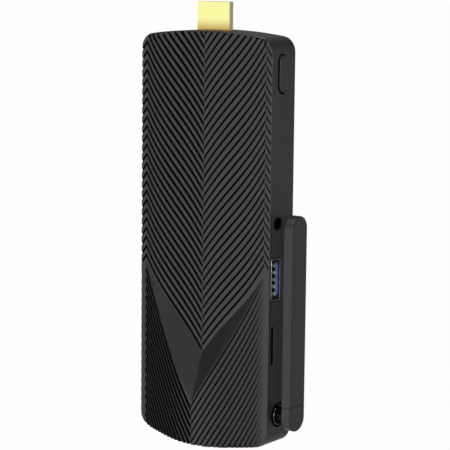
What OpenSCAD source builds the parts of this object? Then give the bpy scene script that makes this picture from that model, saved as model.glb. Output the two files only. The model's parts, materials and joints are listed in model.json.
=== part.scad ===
// Stick computer that hangs from its own video plug, with a ribbed front cover,
// a flat antenna on a side pivot, a power button and sockets along the right side.
// All sizes are millimetres. Z is up with the plug on top, X is to the right and
// the ribbed front looks towards minus Y. The origin is the middle of the plug
// where it leaves the top of the case.

/* [Case] */
// Width of the case from side to side
body_w = 56.8; // [56:0.2:62]
// Height of the case without the plug
body_h = 148.3; // [146:0.1:158]
// Depth of the side walls, from the front edge to the flat back
side_d = 14.6; // [14.4:0.1:17]
// Distance from the middle of the plug to the front edge of the sides
plug_set = 6.8; // [6.7:0.05:7.1]
// Thickness of the housing walls
wall = 1.6; // [1.4:0.1:1.9]
// Radius of the four case corners seen from the front
corner_r = 5.5; // [4.5:0.1:7]
// How far the middle of the top edge rises above its ends
top_bow = 1.5; // [0.8:0.1:2.2]
// How far the middle of the bottom edge drops below its ends
end_bow = 1.5; // [0.8:0.1:2]

/* [Front cover] */
// Thickness of the cover where it meets the housing
cover_t = 1; // [0.95:0.05:1.15]
// How far the middle of the upper cover bulges past its edges
crown = 0.5; // [0.3:0.1:1.2]
// How far the ridge of the raised lower end stands proud of the edges
ridge_h = 6.9; // [6.2:0.1:7.6]
// Radius of the rounded crest of the raised lower end
crest_r = 36; // [30:1:44]
// Width of the edge band where the ribs turn back
band_w = 2.55; // [2.2:0.05:3.2]
// Distance from rib to rib, measured up the case
rib_pitch = 3.38; // [3:0.02:4]
// Height of one groove, measured up the case
groove_v = 1.15; // [0.8:0.05:1.25]
// Depth of the upper grooves at the edge bands, where they are shallowest
groove_d = 0.4; // [0.2:0.05:0.6]
// Depth of the lower grooves at the crest, where they are deepest
roof_groove = 1.4; // [0.8:0.1:1.8]

/* [Sockets and button] */
// Height of the middle of the power button below the top
button_z = 14.3; // [13:0.1:17]
// Height of the middle of the card slot above the antenna pivot
card_up = 25.7; // [24:0.1:28]
// Height of the middle of the wide data socket above the card slot
usb_up = 23.4; // [20:0.1:26]
// Height of the middle of the sound socket above the data socket
jack_up = 19.8; // [14:0.1:24]
// Height of the middle of the power inlet below the top
inlet_z = 44; // [42:0.5:60]
// Length of the button opening
button_l = 14.1; // [12:0.1:15]
// Width of the button opening
button_w = 5.6; // [5:0.1:6]
// How far the button stands out
button_out = 0.5; // [0.3:0.05:0.9]
// How far the button can be pressed
button_travel = 0.4; // [0.2:0.05:0.4]

/* [Antenna] */
// Whole length of the antenna
antenna_l = 77; // [70:0.5:84]
// Width of the antenna
antenna_w = 9.8; // [9.4:0.1:11]
// Thickness of the antenna
antenna_t = 3.6; // [3.4:0.1:4.2]
// Radius along the long edges of the antenna
antenna_edge = 0.9; // [0.4:0.1:1.4]
// Radius of the corners at the upper end of the antenna
antenna_tip = 3.6; // [2:0.1:4.6]
// Distance between the antenna and the side of the case
antenna_gap = 4.4; // [3.6:0.1:5]
// Height of the pivot above the bottom of the case
pivot_up = 12.9; // [12:0.1:14]

/* [Clearances] */
// Gap around the pivot shaft in its bush
run_c = 0.06; // [0.02:0.01:0.1]
// Gap around the button
button_c = 0.55; // [0.3:0.05:0.6]
// Gap around a socket in its cut-out
port_c = 0.2; // [0.1:0.05:0.25]

/* [Hidden] */
$fn = 64;
hx = body_w / 2;
in_x = hx - wall;
yf = -plug_set;
ys = yf + cover_t;
yb = yf + side_d;
in_y = yb - wall;
zb = -body_h;

// Plug and socket sizes that come from the connector standards
plug_w = 13.9;
plug_h = 4.45;
plug_out = 10;
usb_w = 13.1;
usb_h = 5.7;
usb_deep = 14;
usb_y = -2.75;
jack_y = -2;
jack_r = 1.8;
card_y = -4.4;
inlet_w = 8.94;
inlet_h = 3.26;
button_y = -0.2;

// Places of the sockets on the right side
card_z = body_h - pivot_up - card_up;
usb_z = card_z - usb_up;
jack_z = usb_z - jack_up;
jack_deep = 12;
card_deep = 14;
card_w = 14;
switch_deep = 3.8;
switch_h = 4;
switch_l = 6;
flange_t = 0.8;
flange_c = 0.1;
switch_x = in_x - flange_c - flange_t - button_travel - 1.1;

// Main board
board_t = 1.2;
by1 = -plug_h / 2;
by0 = by1 - board_t;
board_x = in_x - 2.2;
inlet_y = by1 + inlet_h / 2;

// Case screws
screw_in = 6.3;
screw_x = in_x - screw_in;
screw_top = -30;
screw_low = zb + 24;
screw_r = 1;
head_r = 1.9;
head_h = 1.2;
boss_r = 2.7;
seat_y = yb - head_h - 0.1;

// Shape of the front
edge_x = hx - band_w;
crown_r = (edge_x * edge_x + crown * crown) / (2 * crown);
roof_x = edge_x + 0.15;
ridge_top = zb + 15.9;
v_tip = [0, yf - crown, zb + 33];
ridge_pt = [0, yf - ridge_h, ridge_top];
peak_pt = [roof_x, yf, v_tip[2] + rise(1) - 1.6];
leg_bend = 0.00037;
leg_slope = (peak_pt[2] - ridge_top) / roof_x - leg_bend * roof_x * roof_x;
band_slope = 1.4;

// Hollow behind the ridge
core_t = roof_groove + 0.8;
core_x = edge_x - 5.4;

// Shape of the case outline
flat_x = hx - corner_r;
top_r = (flat_x * flat_x + top_bow * top_bow) / (2 * top_bow);
end_r = (flat_x * flat_x + end_bow * end_bow) / (2 * end_bow);
top_a = asin(flat_x / (top_r - corner_r));
end_a = asin(flat_x / (end_r - corner_r));
top_cz = -top_r + (top_r - corner_r) * cos(top_a);
end_cz = zb + end_r - (end_r - corner_r) * cos(end_a);

// How far the board reaches into the rounded ends of the case
in_r = corner_r - wall;
board_turn = sqrt(in_r * in_r - (board_x - flat_x) * (board_x - flat_x)) - 0.5;

// Antenna and its pivot
pz = zb + pivot_up;
ax0 = hx + antenna_gap;
ax1 = ax0 + antenna_t;
an_r = antenna_w / 2;
an_low = pz - an_r;
an_top = an_low + antenna_l;
seam_z = pz + 4.2;
shaft_r = 2.2;
collar_r = 3.4;
hole_r = 4.45;
flange_x = in_x - 1.2;
clip_x = flange_x - 1;
shaft_end = clip_x - 0.6;

// Network jack at the bottom end
net_w = 16;
net_h = 12.8;
net_deep = 14.5;
net_x = net_w / 2;
net_y1 = 5.6;
net_y0 = net_y1 - net_h;
net_z0 = zb + 0.3;
net_z1 = net_z0 + net_deep;

// Pieces on the board
chip_t = 1.1;
cpu_w = 24;
cpu_top = -38;
cpu_z = cpu_top - cpu_w / 2;
die_w = 12;
die_l = 10;
pad_w = 16;
pad_t = 0.8;
sink_top = -32;
sink_low = zb + 56;
sink_x = hx - usb_deep - 1.4;
sink_t = 1.5;
fin_t = 1;
fins = 7;
mem_w = 10;
mem_l = 12;
mem_x = -17;
mem_gap = 3;
mem_top = -42;
store_w = 13;
store_l = 11.5;
store_x = -12;
store_top = mem_top - 2 * mem_l - mem_gap - 13.5;
cell_r = 6.25;
cell_t = 2;
cell_x = 9.6 - board_x;
cell_z = screw_low + 18;
wifi_w = 12;
wifi_l = 16;
wifi_t = 1.8;
wifi_x = screw_x - boss_r - 2.8;
wifi_z = screw_low - 3;

// Points of an arc, leaving out a number of steps at both ends
function arc(c, r, a0, a1, n, skip = 0) =
    [for (i = [skip:n - skip]) c + r * [cos(a0 + (a1 - a0) * i / n), sin(a0 + (a1 - a0) * i / n)]];

// Case outline in X and Z, drawn inwards by d
function outline(d) = concat(
    arc([flat_x, top_cz], corner_r - d, 0, 90 - top_a, 8),
    arc([0, -top_r], top_r - d, 90 - top_a, 90 + top_a, 12, 1),
    arc([-flat_x, top_cz], corner_r - d, 90 + top_a, 180, 8),
    arc([-flat_x, end_cz], corner_r - d, 180, 270 - end_a, 8),
    arc([0, zb + end_r], end_r - d, 270 - end_a, 270 + end_a, 12, 1),
    arc([flat_x, end_cz], corner_r - d, 270 + end_a, 360, 8)
);

// Rise of a rib from the middle of the cover out to the share t of the way to the fold
function rise(t) = roof_x * (1.396 * t - 0.674 * t * t + 0.379 * pow(t, 3) + 0.126 * pow(t, 4));

// Climb of a groove of the raised lower end from its ridge out to x
function climb(x) = leg_slope * x + leg_bend * x * x * x;

// Angle at which the flat sides of the raised lower end leave its crest of height h
function lean(h) = atan2(roof_x, crest_r - h) - acos(crest_r / norm([roof_x, crest_r - h]));

// A plan in X and Z, made solid from y0 to y1
module plan(y0, y1) {
    translate([0, y1, 0])
        rotate([90, 0, 0])
            linear_extrude(y1 - y0)
                children();
}

// A plan in Y and Z, made solid from x0 to x1
module side(x0, x1) {
    translate([x0, 0, 0])
        rotate([90, 0, 90])
            linear_extrude(x1 - x0)
                children();
}

// A block between two corners
module box(x0, x1, y0, y1, z0, z1) {
    translate([x0, y0, z0])
        cube([x1 - x0, y1 - y0, z1 - z0]);
}

// A round bar along Y
module bar_y(x, z, r, y0, y1) {
    translate([x, y1, z])
        rotate([90, 0, 0])
            cylinder(r = r, h = y1 - y0);
}

// A round bar along X
module bar_x(y, z, r, x0, x1) {
    translate([x0, y, z])
        rotate([0, 90, 0])
            cylinder(r = r, h = x1 - x0);
}

// A round bar from point a to point b
module bar(a, b, r) {
    d = b - a;
    translate(a)
        rotate([0, acos(d[2] / norm(d)), atan2(d[1], d[0])])
            cylinder(r = r, h = norm(d), $fn = 32);
}

// Slot shape with round ends, w across and l along
module stadium(w, l) {
    square([w, l - w], center = true);
    translate([0, (l - w) / 2])
        circle(d = w);
    translate([0, -(l - w) / 2])
        circle(d = w);
}

// Outline of the video plug in X and Y, drawn inwards by d
module plug_plan(d) {
    w = plug_w / 2 - d;
    h = plug_h / 2 - d;
    k = d * 0.45;
    polygon([[-w, -h], [w, -h], [w, k - d], [w - 1.75 + k, h], [-w + 1.75 - k, h], [-w, k - d]]);
}

// Places of the four case screws
module at_screws() {
    for (x = [-screw_x, screw_x])
        for (z = [screw_top, screw_low])
            translate([x, 0, z])
                children();
}

// Everything behind a slanted facet through v with outward direction n
module behind(v, n) {
    translate(v)
        rotate([0, acos(n[2] / norm(n)), atan2(n[1], n[0])])
            translate([-100, -100, -200])
                cube(200);
}

// Section of the raised lower end in X and Y: flat sides and a rounded crest of height h
module roof_plan(h) {
    tx = crest_r * sin(lean(h));
    ty = yf - h + crest_r * (1 - cos(lean(h)));
    polygon([[-roof_x, yf], [-tx, ty], [tx, ty], [roof_x, yf], [roof_x, ys + 1], [-roof_x, ys + 1]]);
    intersection() {
        translate([0, yf - h + crest_r])
            circle(r = crest_r, $fn = 400);
        translate([-tx, yf - h - 1])
            square([2 * tx, ty - yf + h + 2]);
    }
}

// Raised lower end, cut off by two facets that form a valley
module roof() {
    n = cross(ridge_pt - v_tip, peak_pt - v_tip);
    intersection() {
        translate([0, 0, zb - 5])
            linear_extrude(peak_pt[2] - zb + 11)
                roof_plan(ridge_h);
        union() {
            behind(v_tip, n);
            mirror([1, 0, 0])
                behind(v_tip, n);
        }
    }
}

// Upper cover: flat edge bands and a crowned middle
module crowned() {
    box(-40, 40, yf, ys + 1, zb - 5, 5);
    intersection() {
        translate([0, yf - crown + crown_r, zb - 5])
            cylinder(r = crown_r, h = body_h + 10, $fn = 1200);
        box(-edge_x - 1, edge_x + 1, yf - crown - 1, ys + 1, zb - 5, 5);
    }
}

// One groove in X and Z along the points of a curve
module groove(p) {
    n = len(p) - 1;
    low = [for (i = [0:n]) p[i] - [0, groove_v / 2]];
    high = [for (i = [n:-1:0]) p[i] + [0, groove_v / 2]];
    polygon(concat(low, high));
}

// Grooves of one half of the upper cover, moved down by s: long legs and short ticks
module upper_half(s) {
    first = v_tip[2] + groove_v / 2 + 0.4 + rib_pitch / 2 - s;
    turn = first + rise(1) + rib_pitch / 2;
    d = band_w + 1;
    for (k = [0:floor((4 - first) / rib_pitch)])
        groove([for (i = [0:4]) [edge_x * i / 4, first + k * rib_pitch + rise(i / 4)]]);
    for (k = [0:floor((4 - turn) / rib_pitch)])
        groove([[edge_x, turn + k * rib_pitch], [edge_x + d, turn + k * rib_pitch - d * band_slope]]);
}

// Grooves of one half of the raised lower end, moved down by s
module lower_half(s) {
    first = ridge_top - groove_v - 0.3 - s;
    x1 = edge_x - 1.5;
    for (k = [0:floor((first - zb + climb(x1)) / rib_pitch)])
        groove([for (i = [0:4]) [x1 * i / 4, first - k * rib_pitch + climb(x1 * i / 4)]]);
}

// Moulded front cover with staggered chevron ribs and screw pillars
module front_cover() {
    color([0.27, 0.27, 0.27])
    difference() {
        union() {
            intersection() {
                union() {
                    crowned();
                    roof();
                }
                plan(-30, ys)
                    polygon(outline(0));
            }
            at_screws()
                bar_y(0, 0, boss_r, by0 - 2.8, by0);
        }
        plan(-20, yf + groove_d) {
            upper_half(0);
            mirror([1, 0])
                upper_half(rib_pitch / 2);
        }
        difference() {
            plan(-20, ys - 0.2) {
                lower_half(0);
                mirror([1, 0])
                    lower_half(rib_pitch / 2);
            }
            translate([0, 0, zb - 10])
                linear_extrude(body_h)
                    roof_plan(ridge_h - roof_groove);
        }
        translate([0, 0, zb + core_t])
            linear_extrude(net_deep - 1)
                polygon([
                    [-core_x, ys + 1], [-core_x, ys - 0.1], [0, yf - ridge_h + core_t],
                    [core_x, ys - 0.1], [core_x, ys + 1]
                ]);
        box(-net_x - port_c, net_x + port_c, net_y0 - port_c, 0, zb - 5, zb + 5);
        at_screws()
            bar_y(0, 0, screw_r + 0.05, by0 - 2.2, by0 + 1);
    }
}

// Rear tub: back, four side walls, screw posts and all cut-outs
module rear_housing() {
    color([0.21, 0.21, 0.21])
    difference() {
        union() {
            difference() {
                plan(ys, yb)
                    polygon(outline(0));
                plan(ys - 1, in_y)
                    polygon(outline(wall));
            }
            at_screws()
                bar_y(0, 0, boss_r, by1, in_y + wall / 2);
        }
        at_screws() {
            bar_y(0, 0, screw_r + 0.2, by1 - 1, yb + 1);
            bar_y(0, 0, head_r + 0.15, seat_y, yb + 1);
        }
        box(-plug_w / 2 - port_c, plug_w / 2 + port_c, -plug_h / 2 - port_c, plug_h / 2 + port_c, -6, 2);
        side(in_x - 1, hx + 1)
            translate([button_y, -button_z])
                stadium(button_w, button_l);
        bar_x(jack_y, -jack_z, 2.5, in_x - 1, hx + 1);
        box(in_x - 1, hx + 1, ys - 1, usb_y + usb_h / 2 + port_c, -usb_z - 7.7, -usb_z + 7.7);
        box(in_x - 1, hx + 1, card_y - 0.75, card_y + 0.75, -card_z - 6.8, -card_z + 6.8);
        bar_x(0, pz, hole_r, in_x - 1, hx + 1);
        side(-hx - 1, -in_x + 1)
            translate([inlet_y, -inlet_z])
                stadium(inlet_h + 2 * port_c, inlet_w + 2 * port_c);
        box(-net_x - port_c, net_x + port_c, ys - 1, net_y1 + port_c, zb - 1, zb + wall + 2);
    }
}

// Circuit board, notched around the sockets that sit in its edge
module main_board() {
    color([0.05, 0.25, 0.12])
    difference() {
        box(-board_x, board_x, by0, by1, end_cz - board_turn, top_cz + board_turn);
        box(-net_x, net_x, by0 - 1, by1 + 1, zb, net_z1);
        box(hx - 0.1 - usb_deep, hx, by0 - 1, by1 + 1, -usb_z - usb_w / 2, -usb_z + usb_w / 2);
        box(in_x - jack_deep, hx, by0 - 1, by1 + 1, -jack_z - 3.1, -jack_z + 3.1);
        box(shaft_end - 2, hx, by0 - 1, by1 + 1, pz - 7.5, pz + 7.5);
        at_screws()
            bar_y(0, 0, screw_r + 0.3, by0 - 1, by1 + 1);
    }
}

// Plated sheet shell of the video plug
module hdmi_shell() {
    color([0.83, 0.69, 0.35])
    difference() {
        translate([0, 0, -11])
            linear_extrude(plug_out + 11)
                plug_plan(0);
        translate([0, 0, -12])
            linear_extrude(plug_out + 13)
                plug_plan(0.35);
    }
}

// Insulator inside the plug, with the slot for the mating tongue
module hdmi_insert() {
    color([0.06, 0.06, 0.06])
    difference() {
        translate([0, 0, -10.6])
            linear_extrude(plug_out + 10.2)
                plug_plan(0.35);
        box(-5.4, 5.4, -0.85, 0.75, 1, plug_out + 2);
    }
}

// Two rows of spring contacts on the walls of the slot
module hdmi_contacts() {
    color([0.85, 0.7, 0.3])
    union() {
        for (i = [0:9])
            box(-4.65 + i, -4.35 + i, -0.85, -0.65, 1, plug_out - 1.4);
        for (i = [0:8])
            box(-4.15 + i, -3.85 + i, 0.55, 0.75, 1, plug_out - 1.4);
    }
}

// Sheet metal shell of the wide data socket, with turned-out lips
module usb_shell() {
    color([0.75, 0.76, 0.78])
    difference() {
        union() {
            box(hx - 0.1 - usb_deep, hx - 0.1, usb_y - usb_h / 2, usb_y + usb_h / 2,
                -usb_z - usb_w / 2, -usb_z + usb_w / 2);
            box(hx - 0.5, hx - 0.1, usb_y - usb_h / 2, usb_y + usb_h / 2, -usb_z - 7.4, -usb_z + 7.4);
        }
        box(hx - usb_deep, hx + 1, usb_y - usb_h / 2 + 0.3, usb_y + usb_h / 2 - 0.3,
            -usb_z - usb_w / 2 + 0.3, -usb_z + usb_w / 2 - 0.3);
    }
}

// Coloured insulator of the data socket: a back block and a tongue
module usb_tongue() {
    color([0.2, 0.3, 0.65])
    union() {
        box(hx - usb_deep, hx - usb_deep + 3, usb_y - usb_h / 2 + 0.3, usb_y + usb_h / 2 - 0.3,
            -usb_z - usb_w / 2 + 0.3, -usb_z + usb_w / 2 - 0.3);
        box(hx - usb_deep + 2, hx - 1, usb_y - 0.05, usb_y + 1.79, -usb_z - 5.55, -usb_z + 5.55);
    }
}

// Gold contacts on the front face of the tongue
module usb_contacts() {
    color([0.85, 0.7, 0.3])
    union() {
        for (z = [-3.5, -1, 1, 3.5])
            box(hx - usb_deep + 3, hx - 2.6, usb_y - 0.25, usb_y - 0.05, -usb_z + z - 0.5, -usb_z + z + 0.5);
        for (z = [-4, -2, 0, 2, 4])
            box(hx - 2.2, hx - 1.2, usb_y - 0.25, usb_y - 0.05, -usb_z + z - 0.3, -usb_z + z + 0.3);
    }
}

// Sound socket for a 3.5 mm plug
module audio_jack_body() {
    color([0.05, 0.05, 0.05])
    difference() {
        union() {
            box(in_x - jack_deep, in_x - 0.1, jack_y - 2.6, jack_y + 2.6, -jack_z - 3.1, -jack_z + 3.1);
            bar_x(jack_y, -jack_z, 2.4, in_x - 1, hx - 0.25);
        }
        bar_x(jack_y, -jack_z, jack_r, in_x - jack_deep + 1, hx + 1);
    }
}

// Push-in socket for a small memory card
module card_socket() {
    color([0.72, 0.73, 0.75])
    difference() {
        box(in_x - card_deep, in_x - 0.1, by0 - 1.9, by0, -card_z - card_w / 2, -card_z + card_w / 2);
        box(in_x - card_deep + 1.5, in_x + 1, card_y - 0.6, card_y + 0.6, -card_z - 5.7, -card_z + 5.7);
    }
}

// Power button: a long cap with a flange behind the wall
module power_button() {
    color([0.2, 0.2, 0.2])
    union() {
        side(in_x - flange_c - flange_t, hx + button_out)
            translate([button_y, -button_z])
                stadium(button_w - 2 * button_c, button_l - 2 * button_c);
        side(in_x - flange_c - flange_t, in_x - flange_c)
            translate([button_y, -button_z])
                stadium(button_w + 1.2, button_l + 1.2);
    }
}

// Side-push switch soldered to the back of the board
module switch_body() {
    color([0.1, 0.1, 0.1])
    difference() {
        box(switch_x - switch_deep, switch_x, by1, by1 + switch_h,
            -button_z - switch_l / 2, -button_z + switch_l / 2);
        box(switch_x - 2.4 - button_travel, switch_x + 1, button_y - 0.95, button_y + 0.95,
            -button_z - 1.55, -button_z + 1.55);
    }
}

// Plunger of the switch, pushed by the button
module switch_plunger() {
    color([0.85, 0.85, 0.8])
    box(switch_x - 2.2, in_x - flange_c - flange_t, button_y - 0.8, button_y + 0.8,
        -button_z - 1.4, -button_z + 1.4);
}

// Bar with the rounded section of the antenna, from z0 to z1
module antenna_bar(z0, z1) {
    e = antenna_edge;
    translate([0, 0, z0])
        linear_extrude(z1 - z0)
            polygon(concat(
                arc([ax1 - e, an_r - e], e, 0, 90, 5),
                arc([ax0 + e, an_r - e], e, 90, 180, 5),
                arc([ax0 + e, e - an_r], e, 180, 270, 5),
                arc([ax1 - e, e - an_r], e, 270, 360, 5)
            ));
}

// Long blade of the antenna with a rounded upper end
module antenna_paddle() {
    c = antenna_tip;
    color([0.23, 0.23, 0.23])
    difference() {
        intersection() {
            antenna_bar(seam_z, an_top + 1);
            side(ax0 - 1, ax1 + 1)
                polygon(concat(
                    [[-an_r - 1, seam_z - 1], [an_r + 1, seam_z - 1]],
                    [[an_r + 1, an_top - c], [an_r, an_top - c]],
                    arc([an_r - c, an_top - c], c, 0, 90, 8, 1),
                    arc([c - an_r, an_top - c], c, 90, 180, 8, 1),
                    [[-an_r, an_top - c], [-an_r - 1, an_top - c]]
                ));
        }
        box((ax0 + ax1) / 2 - 0.4, (ax0 + ax1) / 2 + 0.4, -2.7, 2.7, seam_z - 1, an_top - 8);
    }
}

// Round lower end of the antenna that carries the pivot
module antenna_knuckle() {
    color([0.22, 0.22, 0.22])
    difference() {
        intersection() {
            antenna_bar(an_low - 1, seam_z);
            union() {
                bar_x(0, pz, an_r, ax0 - 1, ax1 + 1);
                box(ax0 - 1, ax1 + 1, -an_r - 1, an_r + 1, pz, seam_z + 1);
            }
        }
        bar_x(0, pz, shaft_r + 0.05, ax0 - 1, ax0 + 2.2);
    }
}

// Radiating strip inside the blade
module antenna_element() {
    color([0.72, 0.45, 0.2])
    box((ax0 + ax1) / 2 - 0.3, (ax0 + ax1) / 2 + 0.3, -2.5, 2.5, seam_z, an_top - 8.4);
}

// Turned hollow pivot: stub in the knuckle, collar, shaft and a groove for the clip
module antenna_pivot() {
    color([0.2, 0.2, 0.21])
    difference() {
        union() {
            bar_x(0, pz, shaft_r, shaft_end, ax0 + 2.1);
            bar_x(0, pz, collar_r, hx - 0.4, ax0);
        }
        bar_x(0, pz, 0.95, shaft_end - 1, ax0 + 1);
        difference() {
            bar_x(0, pz, shaft_r + 1, clip_x, clip_x + 0.6);
            bar_x(0, pz, 1.7, clip_x - 1, clip_x + 2);
        }
    }
}

// Flanged bush fixed in the side wall
module pivot_bush() {
    color([0.1, 0.1, 0.1])
    difference() {
        union() {
            bar_x(0, pz, 5.6, flange_x, in_x);
            bar_x(0, pz, hole_r - 0.1, flange_x, hx - 0.7);
        }
        bar_x(0, pz, shaft_r + run_c, flange_x - 1, hx + 1);
    }
}

// Washer that gives the pivot its drag
module friction_washer() {
    color([0.75, 0.75, 0.72])
    difference() {
        bar_x(0, pz, 4.4, clip_x + 0.6, flange_x);
        bar_x(0, pz, shaft_r + 0.35, clip_x, flange_x + 1);
    }
}

// Open clip that snaps into the groove and holds the pivot
module pivot_clip() {
    color([0.6, 0.61, 0.63])
    difference() {
        bar_x(0, pz, 3.6, clip_x, clip_x + 0.6);
        bar_x(0, pz, 1.75, clip_x - 1, clip_x + 2);
        box(clip_x - 1, clip_x + 2, -1.2, 1.2, pz - 6, pz);
    }
}

// Thin cable from the radio module into the hollow pivot
module antenna_coax() {
    r = 0.55;
    x = wifi_x - 3;
    a = [x, by1 + wifi_t, wifi_z + 5];
    b = [x, 1.2, wifi_z + 5];
    c = [x, 1.2, wifi_z - 2];
    d = [shaft_end - 5, 0, pz];
    e = [in_x - 0.3, 0, pz];
    color([0.12, 0.12, 0.12])
    union() {
        bar(a, b, r);
        bar(b, c, r);
        bar(c, d, r);
        bar(d, e, r);
        for (p = [b, c, d])
            translate(p)
                sphere(r = r + 0.05, $fn = 32);
    }
}

// Shielded radio module on the back of the board
module wifi_module() {
    color([0.72, 0.72, 0.73])
    box(wifi_x - wifi_w, wifi_x, by1, by1 + wifi_t, wifi_z, wifi_z + wifi_l);
}

// Processor package
module processor() {
    color([0.12, 0.14, 0.12])
    union() {
        box(-cpu_w / 2, cpu_w / 2, by1, by1 + chip_t / 2, cpu_top - cpu_w, cpu_top);
        box(-die_w / 2, die_w / 2, by1 + chip_t / 2, by1 + chip_t, cpu_z - die_l / 2, cpu_z + die_l / 2);
    }
}

// Soft pad between the processor and the heat spreader
module thermal_pad() {
    color([0.55, 0.6, 0.65])
    box(-pad_w / 2, pad_w / 2, by1 + chip_t, by1 + chip_t + pad_t, cpu_z - pad_w / 2, cpu_z + pad_w / 2);
}

// Finned aluminium heat spreader
module heat_spreader() {
    y0 = by1 + chip_t + pad_t;
    color([0.7, 0.71, 0.72])
    union() {
        box(-sink_x, sink_x, y0, y0 + sink_t, sink_low, sink_top);
        for (i = [0:fins - 1])
            let (x = -sink_x + i * (2 * sink_x - fin_t) / (fins - 1))
                box(x, x + fin_t, y0 + sink_t / 2, in_y - 0.6, sink_low, sink_top);
    }
}

// Four memory chips on the front of the board
module memory_chips() {
    color([0.08, 0.08, 0.09])
    union() {
        for (x = [mem_x, mem_x + mem_w + mem_gap])
            for (z = [mem_top, mem_top - mem_l - mem_gap])
                box(x, x + mem_w, by0 - chip_t, by0, z - mem_l, z);
    }
}

// Storage chip on the front of the board
module storage_chip() {
    color([0.09, 0.09, 0.1])
    box(store_x, store_x + store_w, by0 - chip_t, by0, store_top - store_l, store_top);
}

// Coin cell that keeps the clock running
module rtc_battery() {
    color([0.75, 0.75, 0.77])
    union() {
        bar_y(cell_x, cell_z, cell_r, by1, by1 + 0.75 * cell_t);
        bar_y(cell_x, cell_z, 0.9 * cell_r, by1 + cell_t / 2, by1 + cell_t);
    }
}

// Four countersunk-head screws with a cross recess, put in from the back
module case_screws() {
    color([0.3, 0.3, 0.31])
    difference() {
        at_screws() {
            bar_y(0, 0, head_r, seat_y, seat_y + head_h);
            bar_y(0, 0, screw_r, by0 - 1.9, seat_y + 0.5);
        }
        at_screws() {
            box(-1.1, 1.1, seat_y + 0.5, yb + 1, -0.25, 0.25);
            box(-0.25, 0.25, seat_y + 0.5, yb + 1, -1.1, 1.1);
        }
    }
}

// Sheet metal shield of the network jack
module network_jack_shield() {
    color([0.74, 0.75, 0.77])
    difference() {
        box(-net_x, net_x, net_y0, net_y1, net_z0, net_z1);
        box(-net_x + 0.25, net_x - 0.25, net_y0 + 0.25, net_y1 - 0.25, net_z0 - 1, net_z1 - 0.25);
    }
}

// Insulator of the network jack with the plug cavity and latch notch
module network_jack_insert() {
    color([0.07, 0.07, 0.07])
    difference() {
        box(-net_x + 0.25, net_x - 0.25, net_y0 + 0.25, net_y1 - 0.25, net_z0 + 0.3, net_z1 - 0.25);
        box(-5.9, 5.9, net_y0 + 2.4, net_y0 + 10.4, net_z0 - 1, net_z0 + 12.5);
        box(-3.1, 3.1, net_y0 + 10, net_y0 + 11.6, net_z0 - 1, net_z0 + 10);
    }
}

// Eight contact springs along the front wall of the cavity
module network_jack_contacts() {
    color([0.85, 0.7, 0.3])
    union() {
        for (i = [0:7])
            box(-3.745 + i * 1.02, -3.395 + i * 1.02, net_y0 + 2.4, net_y0 + 2.8,
                net_z0 + 2.5, net_z0 + 12.5);
    }
}

// Shell of the small power inlet on the left side
module usb_c_shell() {
    color([0.75, 0.76, 0.78])
    difference() {
        side(-hx + 0.1, -hx + 7.4)
            translate([inlet_y, -inlet_z])
                stadium(inlet_h, inlet_w);
        side(-hx - 1, -hx + 7.1)
            translate([inlet_y, -inlet_z])
                stadium(inlet_h - 0.6, inlet_w - 0.6);
    }
}

// Tongue of the power inlet
module usb_c_tongue() {
    color([0.08, 0.08, 0.08])
    union() {
        box(-hx + 0.9, -hx + 7.1, inlet_y - 0.35, inlet_y + 0.35, -inlet_z - 3.1, -inlet_z + 3.1);
        box(-hx + 5.6, -hx + 7.1, inlet_y - 1, inlet_y + 1, -inlet_z - 3.1, -inlet_z + 3.1);
    }
}

front_cover();
rear_housing();
main_board();
hdmi_shell();
hdmi_insert();
hdmi_contacts();
usb_shell();
usb_tongue();
usb_contacts();
audio_jack_body();
card_socket();
power_button();
switch_body();
switch_plunger();
antenna_paddle();
antenna_knuckle();
antenna_element();
antenna_pivot();
pivot_bush();
friction_washer();
pivot_clip();
antenna_coax();
wifi_module();
processor();
thermal_pad();
heat_spreader();
memory_chips();
storage_chip();
rtc_battery();
case_screws();
network_jack_shield();
network_jack_insert();
network_jack_contacts();
usb_c_shell();
usb_c_tongue();
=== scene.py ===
# %% [markdown]
# # Dressing a stick computer with a ribbed cover
# The object is a slim computer that hangs from its own video plug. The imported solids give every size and
# every joint, so this lesson only adds looks: softer edges, the ribbed cover as one worked-out surface,
# and materials that are described by what they are made of. The frame is in metres. Shapes are worked out
# in millimetres, as in the solids, and MM turns them into metres.

# %% Load the solids and keep their box
import json
import math

import bmesh
import bpy
import numpy as np
from mathutils import Matrix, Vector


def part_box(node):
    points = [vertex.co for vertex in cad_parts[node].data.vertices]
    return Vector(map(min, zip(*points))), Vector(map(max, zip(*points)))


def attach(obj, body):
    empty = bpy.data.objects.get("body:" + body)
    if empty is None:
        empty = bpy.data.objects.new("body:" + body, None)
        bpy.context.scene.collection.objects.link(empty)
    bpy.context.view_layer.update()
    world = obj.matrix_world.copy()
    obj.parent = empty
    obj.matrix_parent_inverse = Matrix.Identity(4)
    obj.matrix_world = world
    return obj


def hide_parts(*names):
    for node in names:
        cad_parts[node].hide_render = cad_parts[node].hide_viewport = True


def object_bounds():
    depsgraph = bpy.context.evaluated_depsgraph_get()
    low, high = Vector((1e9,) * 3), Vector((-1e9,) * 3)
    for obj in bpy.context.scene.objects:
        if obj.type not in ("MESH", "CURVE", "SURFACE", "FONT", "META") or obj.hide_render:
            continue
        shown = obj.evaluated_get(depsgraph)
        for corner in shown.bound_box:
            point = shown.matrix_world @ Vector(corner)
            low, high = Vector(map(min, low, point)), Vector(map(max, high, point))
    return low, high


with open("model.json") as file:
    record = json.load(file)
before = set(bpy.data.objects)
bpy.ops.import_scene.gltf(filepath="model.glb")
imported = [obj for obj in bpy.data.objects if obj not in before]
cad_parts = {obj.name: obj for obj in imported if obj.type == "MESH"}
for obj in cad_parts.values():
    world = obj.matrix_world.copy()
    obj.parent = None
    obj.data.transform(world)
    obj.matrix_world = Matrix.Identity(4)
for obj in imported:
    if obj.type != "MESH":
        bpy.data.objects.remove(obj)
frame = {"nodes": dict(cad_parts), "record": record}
cad_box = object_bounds()
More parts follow.
